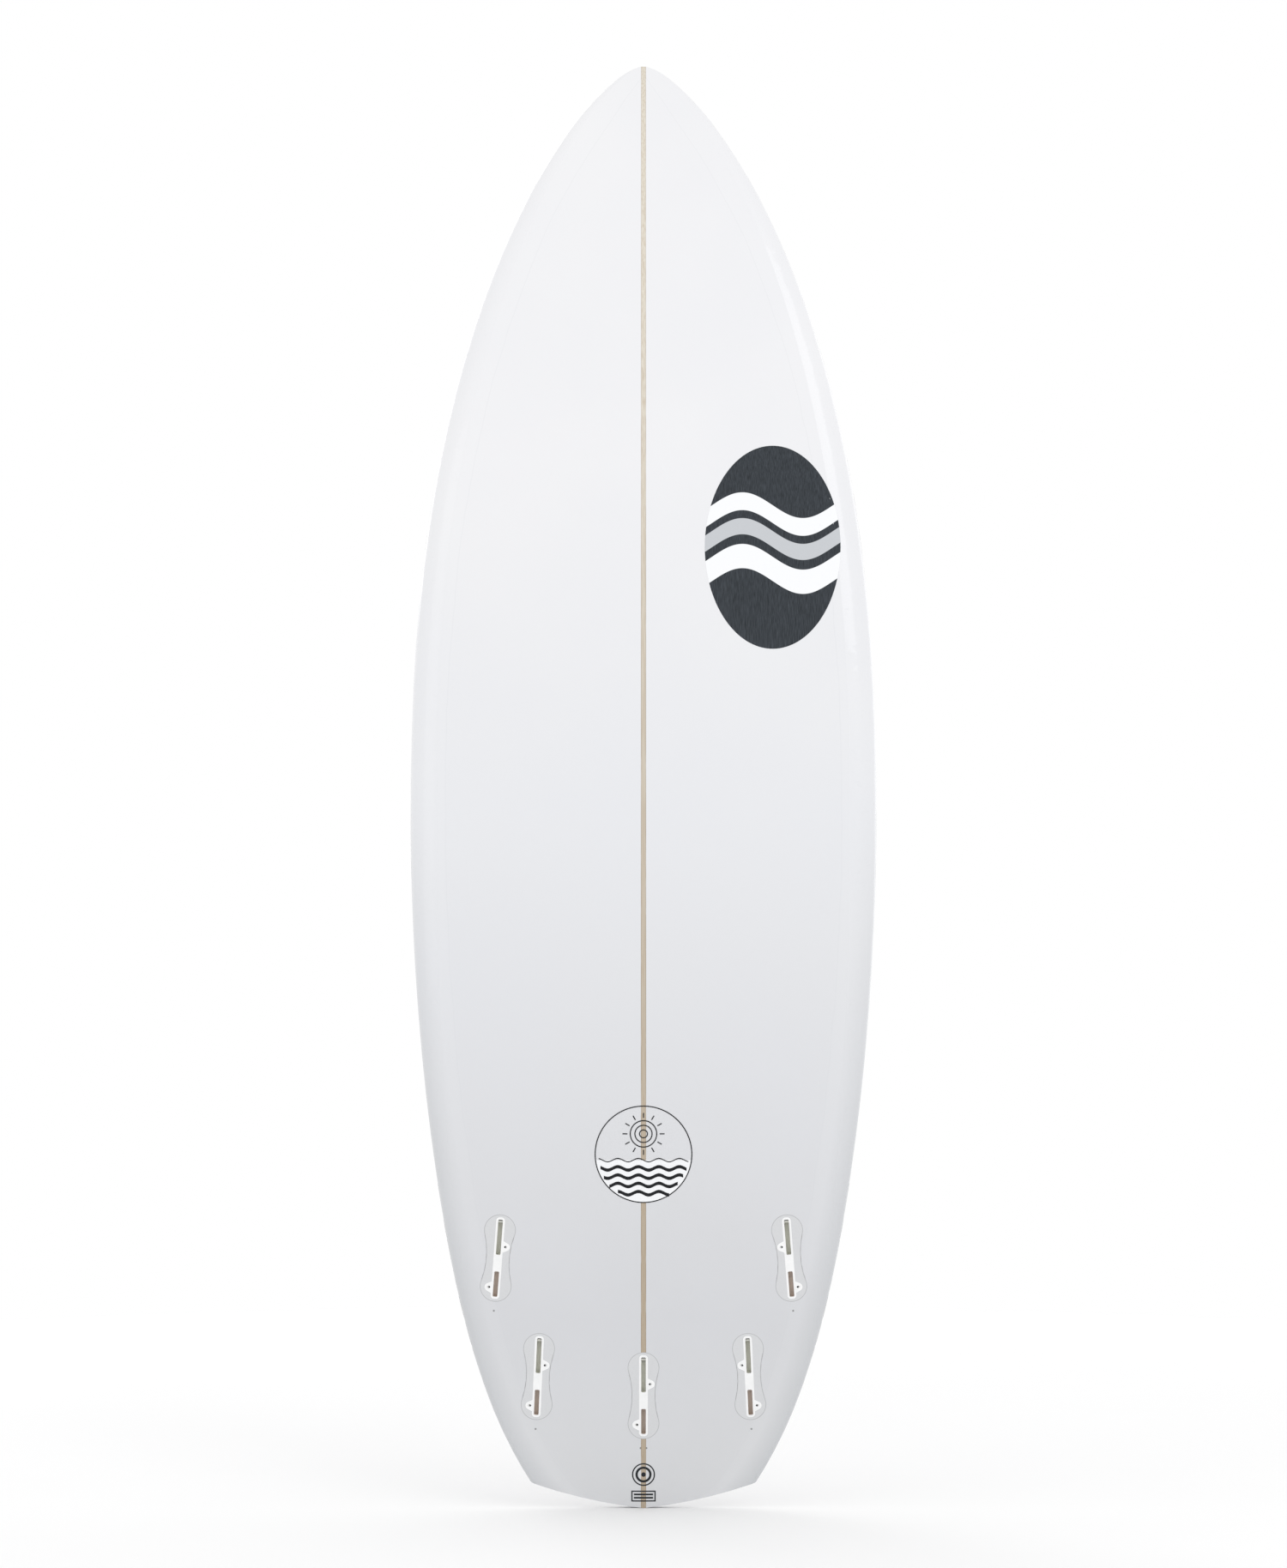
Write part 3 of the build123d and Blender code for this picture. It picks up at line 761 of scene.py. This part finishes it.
def plug_resin_material():
    """Milky resin round the leash plug."""
    material, tree, shader = new_material("milky_resin", Roughness=0.25, Coat_Weight=0.5, Coat_Roughness=0.05)
    place, *_ = axes_of(tree)
    tree.links.new(mix(tree, noise(tree, place, 4), "#D6D8DB", "#C8CACE"), shader.inputs["Base Color"])
    return material


def roller_material():
    """Acetal roller: pale grey, waxy."""
    fittings = bpy.context.scene.surfboard_fittings
    material, tree, shader = new_material("acetal", Roughness=0.35, IOR=1.48)
    place, *_ = axes_of(tree)
    waxy = mix(tree, noise(tree, place, 1.5), fittings.roller, "#BEBEB6")
    tree.links.new(waxy, shader.inputs["Base Color"])
    return material


def rubber_material():
    """Moulded rubber block: dull black."""
    material, tree, shader = new_material("nitrile_rubber", Roughness=0.75)
    place, *_ = axes_of(tree)
    bloom = noise(tree, place, 0.8, detail=4.0)
    tree.links.new(mix(tree, bloom, "#1A1A1B", "#2C2C2D"), shader.inputs["Base Color"])
    bump(tree, shader, bloom, 0.03)
    return material


def steel_material(name, tone, worn, roughness, pitch):
    """Stainless steel, turned or drawn, with fine marks."""
    material, tree, shader = new_material(name, Metallic=1.0, Roughness=roughness)
    place, *_ = axes_of(tree)
    marks = noise(tree, place, pitch, detail=3.0, stretch=(12, 1, 1))
    tree.links.new(mix(tree, marks, tone, worn), shader.inputs["Base Color"])
    uneven = add(tree, "MapRange", {3: roughness - 0.06, 4: roughness + 0.06}, {"Value": marks})
    tree.links.new(uneven.outputs["Result"], shader.inputs["Roughness"])
    return material


def cup_material():
    """Glossy black polycarbonate, moulded, with faint handling haze."""
    fittings = bpy.context.scene.surfboard_fittings
    material, tree, shader = new_material(
        "black_polycarbonate", IOR=1.58, Coat_Weight=0.3, Coat_Roughness=0.03,
    )
    place, *_ = axes_of(tree)
    haze = noise(tree, place, 3.0, detail=4.0)
    tree.links.new(mix(tree, haze, fittings.cup, "#1A1B1E"), shader.inputs["Base Color"])
    roughness = add(tree, "MapRange", {3: 0.14, 4: 0.3}, {"Value": haze}).outputs["Result"]
    tree.links.new(roughness, shader.inputs["Roughness"])
    return material


# Operators, one for each piece or group of like pieces


class SURFBOARD_OT_laminates(bpy.types.Operator):
    """Finishes the two laminates, with the stringer and the lap line showing through the glass"""

    bl_idname = "surfboard.laminates"
    bl_label = "Laminates"

    def execute(self, context):
        paint(NODES["deck_laminate"], glass_material("polyester_glass_deck", "deck"))
        paint(NODES["bottom_laminate"], glass_material("polyester_glass_bottom", "bottom"))
        return {"FINISHED"}


class SURFBOARD_OT_core(bpy.types.Operator):
    """Finishes the foam blank, the stringer and its glue lines"""

    bl_idname = "surfboard.core"
    bl_label = "Blank and stringer"

    def execute(self, context):
        foam, glue = foam_material(), glue_material()
        paint(NODES["stringer"], wood_material())
        for side in ("left", "right"):
            paint(NODES[f"blank_{side}_half"], foam)
            paint(NODES[f"glue_line_{side}"], glue)
        return {"FINISHED"}


class SURFBOARD_OT_carbon(bpy.types.Operator):
    """Lays a carbon strip over each rail near the tail"""

    bl_idname = "surfboard.carbon"
    bl_label = "Carbon strips"

    def execute(self, context):
        material = carbon_material()
        for side, sign in (("left", -1), ("right", 1)):
            strip = self.strip(sign, context.scene.surfboard_carbon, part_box(f"carbon_strip_{side}"))
            strip.name = strip.data.name = f"carbon_tape_{side}"
            paint(strip, material)
            place_piece(strip, "board", "carbon", f"carbon_strip_{side}")
        return {"FINISHED"}

    def on_rail(self, sign, height, turn, plan_width):
        """The point of the glass at this turn from straight out of the deck to straight out of the rail."""
        core = Vector((sign * (half_width_at(height) - plan_width), rail_depth_at(height), height))
        outward = Vector((sign * sin(turn), -cos(turn), 0))
        hit = self.surface.ray_cast(core + outward * 0.2, -outward)[0]
        if hit is None:
            raise RuntimeError("a carbon strip missed the rail")
        return hit, outward

    def strip(self, sign, carbon, box):
        """A fine grid, wrapped from the deck round to the rail's widest line."""
        columns, rows = 24, 150
        clear_selection()
        bpy.ops.mesh.primitive_grid_add(x_subdivisions=columns, y_subdivisions=rows, size=1)
        strip = bpy.context.active_object
        self.surface = BVHTree.FromObject(NODES["deck_laminate"], bpy.context.evaluated_depsgraph_get())
        low, high = box[0].z, box[1].z
        lift = 0.3 * MM
        across_mm = np.zeros(len(strip.data.vertices))
        along_mm = np.zeros(len(strip.data.vertices))
        for row in range(rows + 1):
            run, last = 0.0, None
            for column in range(columns + 1):
                turn = column / columns * pi / 2
                height = low + (high - low) * row / rows
                hit, outward = self.on_rail(sign, height, turn, carbon.plan_width)
                share = min(1.0, max(0.0, (half_width_at(height) - abs(hit.x)) / carbon.plan_width))
                start, end = low + carbon.tail_slant * share, high - carbon.nose_slant * share
                height = start + (end - start) * row / rows
                hit, outward = self.on_rail(sign, height, turn, carbon.plan_width)
                if last is not None:
                    run += (Vector((hit.x, hit.y, 0)) - Vector((last.x, last.y, 0))).length
                last = hit
                index = row * (columns + 1) + column
                strip.data.vertices[index].co = hit + outward * lift
                across_mm[index] = run
                along_mm[index] = height
        for name, values in (("across", across_mm), ("along", along_mm)):
            attribute = strip.data.attributes.new(name, "FLOAT", "POINT")
            attribute.data.foreach_set("value", values.astype(np.float32))
        if sign < 0:
            strip.data.flip_normals()
        solid = strip.modifiers.new("thickness", "SOLIDIFY")
        solid.thickness = 0.25 * MM
        solid.offset = -1
        apply_modifiers(strip)
        clear_selection()
        strip.select_set(True)
        bpy.ops.object.shade_smooth_by_angle(angle=radians(40))
        return strip


class SURFBOARD_OT_emblems(bpy.types.Operator):
    """Lays an oval emblem on the deck and one on the bottom"""

    bl_idname = "surfboard.emblems"
    bl_label = "Emblems"

    def execute(self, context):
        marks = context.scene.surfboard_marks
        for node, skin, face in (
            ("deck_emblem", "deck_laminate", DECK_SIDE), ("bottom_emblem", "bottom_laminate", BOTTOM_SIDE),
        ):
            middle, size = node_middle(node), node_size(node)
            oval = flat_disc(middle.x, middle.z, size.x / 2, face, 128, 16, size.z / size.x)
            oval.name = oval.data.name = node + "_print"
            drape(oval, skin, face, marks.lift, marks.film)
            paint(oval, emblem_material(node + "_ink", middle))
            place_piece(oval, "board", "emblem_ink", node)
        return {"FINISHED"}


class SURFBOARD_OT_round_print(bpy.types.Operator):
    """Prints a sun over waves inside a ring on the bottom, ahead of the fin boxes"""

    bl_idname = "surfboard.round_print"
    bl_label = "Round print"

    def execute(self, context):
        marks = context.scene.surfboard_marks
        middle, radius = node_middle("round_print_lines"), node_size("round_print_lines").x / 2
        x, z, face = middle.x, middle.z, BOTTOM_SIDE
        line = marks.line
        pieces = [open_ring(flat_disc(x, z, radius, face, 160), line)]
        sun = z + 0.42 * radius
        for share in (0.07, 0.165, 0.26):
            pieces.append(open_ring(flat_disc(x, sun, share * radius + line, face, 64), line))
        for i in range(marks.rays):
            turn = 2 * pi * i / marks.rays
            reach = 0.38 * radius
            pieces.append(flat_bar(
                x + reach * sin(turn), sun + reach * cos(turn), line, 0.1 * radius, face, turn=turn,
            ))
        for row in range(5):
            rise = z - (0.12 + 0.17 * row) * radius
            half = sqrt(radius**2 - (rise - z) ** 2) - 3.5 * line
            width = line if row == 0 else 3.2 * line
            pieces.append(flat_wave(x, rise, 2 * half, width, 0.035 * radius, 0.42 * radius, face))
        lines = drape(joined(pieces, "sun_and_waves"), "bottom_laminate", face, marks.lift * 1.8, marks.film)
        paint(lines, ink_material("black_print_ink", marks.ink, "#2E3034"))
        place_piece(lines, "board", "print_ink", "round_print_lines")
        patch = flat_disc(x, z, radius - line, face, 128, 14)
        self.keep_below(patch, z - 0.12 * radius)
        patch.name = patch.data.name = "sea_patch"
        drape(patch, "bottom_laminate", face, marks.lift, marks.film)
        paint(patch, ink_material("white_print_ink", marks.white, "#E6E8EB"))
        place_piece(patch, "board", "print_white", "round_print_patch")
        return {"FINISHED"}

    def keep_below(self, obj, height):
        clear_selection()
        obj.select_set(True)
        bpy.context.view_layer.objects.active = obj
        bpy.ops.object.mode_set(mode="EDIT")
        bpy.ops.mesh.select_all(action="SELECT")
        bpy.ops.mesh.bisect(plane_co=(0, 0, height), plane_no=(0, 0, 1), clear_outer=True)
        bpy.ops.object.mode_set(mode="OBJECT")


class SURFBOARD_OT_tail_marks(bpy.types.Operator):
    """Prints the plain ring and the plain bar on the tail of the bottom"""

    bl_idname = "surfboard.tail_marks"
    bl_label = "Tail marks"

    def execute(self, context):
        marks = context.scene.surfboard_marks
        ink = ink_material("grey_print_ink", "#26282B", "#3A3D41")
        face, line = BOTTOM_SIDE, marks.line
        middle, radius = node_middle("ring_mark"), node_size("ring_mark").x / 2
        rings = [
            open_ring(flat_disc(middle.x, middle.z, radius, face, 96), 1.2 * line),
            open_ring(flat_disc(middle.x, middle.z, 0.7 * radius, face, 72), 2.2 * line),
            flat_disc(middle.x, middle.z, 0.2 * radius, face, 32),
        ]
        ring = drape(joined(rings, "tail_ring_print"), "bottom_laminate", face, marks.lift, marks.film)
        paint(ring, ink)
        place_piece(ring, "board", "print_ink", "ring_mark")
        middle, size = node_middle("bar_mark"), node_size("bar_mark")
        bars = [
            open_ring(flat_bar(middle.x, middle.z, size.x, size.z, face, 12), 1.2 * line),
            flat_bar(middle.x, middle.z + 1.6 * line, size.x - 5 * line, 1.7 * line, face, 8),
            flat_bar(middle.x, middle.z - 1.6 * line, size.x - 5 * line, 1.7 * line, face, 8),
        ]
        bar = drape(joined(bars, "tail_bar_print"), "bottom_laminate", face, marks.lift, marks.film)
        paint(bar, ink)
        place_piece(bar, "board", "print_ink", "bar_mark")
        return {"FINISHED"}


class SURFBOARD_OT_fin_boxes(bpy.types.Operator):
    """Finishes the five fin boxes, their resin fills, rollers and grub screws, and makes their springs"""

    bl_idname = "surfboard.fin_boxes"
    bl_label = "Fin boxes"

    def execute(self, context):
        fittings = context.scene.surfboard_fittings
        roller, rubber = roller_material(), rubber_material()
        steel = steel_material("stainless_grub_screw", "#8A8B8D", "#6B6C6F", 0.38, 0.3)
        for box in BOX_NAMES:
            paint(NODES[box + "_box"], nylon_material(f"glass_filled_nylon_{box}", box))
            paint(NODES[box + "_box_resin"], fill_material(f"filled_resin_{box}", box))
            paint(NODES[box + "_roller"], roller)
            for ear in ("inner", "outer"):
                paint(NODES[f"{box}_{ear}_screw"], steel)
            self.spring(box, rubber, fittings.spring_keep)
        return {"FINISHED"}

    def spring(self, box, rubber, keep):
        """A rubber block with softened edges, put in the place of the frame's spring."""
        node = box + "_roller_spring"
        clear_selection()
        block = NODES[node].copy()
        block.data = NODES[node].data.copy()
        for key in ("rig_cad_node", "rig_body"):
            del block[key]
        block.parent = None
        block.name = block.data.name = box + "_rubber_block"
        bpy.context.scene.collection.objects.link(block)
        block.select_set(True)
        bpy.context.view_layer.objects.active = block
        bpy.ops.object.mode_set(mode="EDIT")
        bpy.ops.mesh.select_all(action="SELECT")
        bpy.ops.mesh.remove_doubles(threshold=1e-6)
        bpy.ops.mesh.tris_convert_to_quads()
        bpy.ops.mesh.select_all(action="SELECT")
        bpy.ops.object.mode_set(mode="OBJECT")
        bevel = block.modifiers.new("soft_edges", "BEVEL")
        bevel.width = 0.25 * MM
        bevel.segments = 2
        apply_modifiers(block)
        paint(block, rubber)
        place_piece(block, "board", "spring_rubber", node)
        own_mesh(block)


class SURFBOARD_OT_leash_plug(bpy.types.Operator):
    """Finishes the leash plug's cup, its bar and the ring of resin round it"""

    bl_idname = "surfboard.leash_plug"
    bl_label = "Leash plug"

    def execute(self, context):
        paint(NODES["leash_cup"], cup_material())
        paint(NODES["leash_bar"], steel_material("polished_stainless_bar", "#D9DADC", "#BFC1C4", 0.18, 0.5))
        paint(NODES["leash_cup_resin"], plug_resin_material())
        return {"FINISHED"}


class SURFBOARD_OT_stage(bpy.types.Operator):
    """Sets the pale floor, the soft studio light and the camera"""

    bl_idname = "surfboard.stage"
    bl_label = "Stage"

    def execute(self, context):
        stage = context.scene.surfboard_stage
        self.floor(stage)
        self.world(context)
        self.lights()
        self.camera(context, stage)
        return {"FINISHED"}

    def floor(self, stage):
        clear_selection()
        bpy.ops.mesh.primitive_circle_add(vertices=96, radius=stage.floor_size / 2, fill_type="NGON")
        floor = bpy.context.active_object
        floor.name = "floor"
        material, tree, shader = new_material("pale_floor", Roughness=0.9, Specular_IOR_Level=0.1)
        place, *_ = axes_of(tree)
        tone = mix(tree, noise(tree, place, 900), stage.floor_colour, "#F7F7F7")
        tree.links.new(tone, shader.inputs["Base Color"])
        paint(floor, material)

    def world(self, context):
        world = bpy.data.worlds.new("studio")
        world.use_nodes = True
        background = world.node_tree.nodes["Background"]
        background.inputs["Color"].default_value = (1.0, 1.0, 1.0, 1.0)
        background.inputs["Strength"].default_value = 1.0
        context.scene.world = world
        context.scene.view_settings.view_transform = "Standard"

    def lights(self):
        """Two large soft panels on each side of the board, one brighter than the other."""
        for name, place, power, size in (
            ("key_bottom_side", (-2.2, 3.4, 2.6), 18, 2.4),
            ("fill_bottom_side", (2.6, 3.2, 1.4), 6, 2.4),
            ("key_deck_side", (2.2, -3.4, 2.6), 18, 2.4),
            ("fill_deck_side", (-2.6, -3.2, 1.4), 6, 2.4),
        ):
            bpy.ops.object.light_add(type="AREA", location=place)
            light = bpy.context.active_object
            light.name = light.data.name = name
            light.data.energy = power
            light.data.size = size
            aim = Vector((0, 0, 0.9)) - Vector(place)
            light.rotation_euler = aim.to_track_quat("-Z", "Y").to_euler()

    def camera(self, context, stage):
        """Level and square on to the bottom, with the board upright in the frame."""
        low, high = CAD_BOX
        sensor = 36.0
        height = (high.z - low.z) / stage.fill
        distance = height / sensor * stage.lens
        bpy.ops.object.camera_add(
            location=(0, high.y + distance, (low.z + high.z) / 2), rotation=(pi / 2, 0, pi)
        )
        camera = bpy.context.active_object
        camera.data.sensor_fit = "VERTICAL"
        camera.data.sensor_height = sensor
        camera.data.lens = stage.lens
        camera.data.dof.use_dof = False
        camera.data.clip_end = 200
        context.scene.camera = camera


OPERATORS = (
    SURFBOARD_OT_laminates,
    SURFBOARD_OT_core,
    SURFBOARD_OT_carbon,
    SURFBOARD_OT_emblems,
    SURFBOARD_OT_round_print,
    SURFBOARD_OT_tail_marks,
    SURFBOARD_OT_fin_boxes,
    SURFBOARD_OT_leash_plug,
    SURFBOARD_OT_stage,
)


class SURFBOARD_PT_panel(bpy.types.Panel):
    bl_idname = "SURFBOARD_PT_panel"
    bl_label = "Surfboard"
    bl_space_type = "VIEW_3D"
    bl_region_type = "UI"
    bl_category = "Surfboard"

    def draw(self, context):
        for name, group in PROPERTY_GROUPS.items():
            box = self.layout.box()
            for key in group.__annotations__:
                box.prop(getattr(context.scene, name), key)
        for operator in OPERATORS:
            self.layout.operator(operator.bl_idname)


CLASSES = (*PROPERTY_GROUPS.values(), *OPERATORS, SURFBOARD_PT_panel)


def register():
    for cls in CLASSES:
        bpy.utils.register_class(cls)
    for name, group in PROPERTY_GROUPS.items():
        setattr(bpy.types.Scene, name, PointerProperty(type=group))


def unregister():
    for name in PROPERTY_GROUPS:
        delattr(bpy.types.Scene, name)
    for cls in reversed(CLASSES):
        bpy.utils.unregister_class(cls)


def main():
    register()
    for operator in OPERATORS:
        group, name = operator.bl_idname.split(".")
        getattr(getattr(bpy.ops, group), name)()


if __name__ == "__main__":
    main()
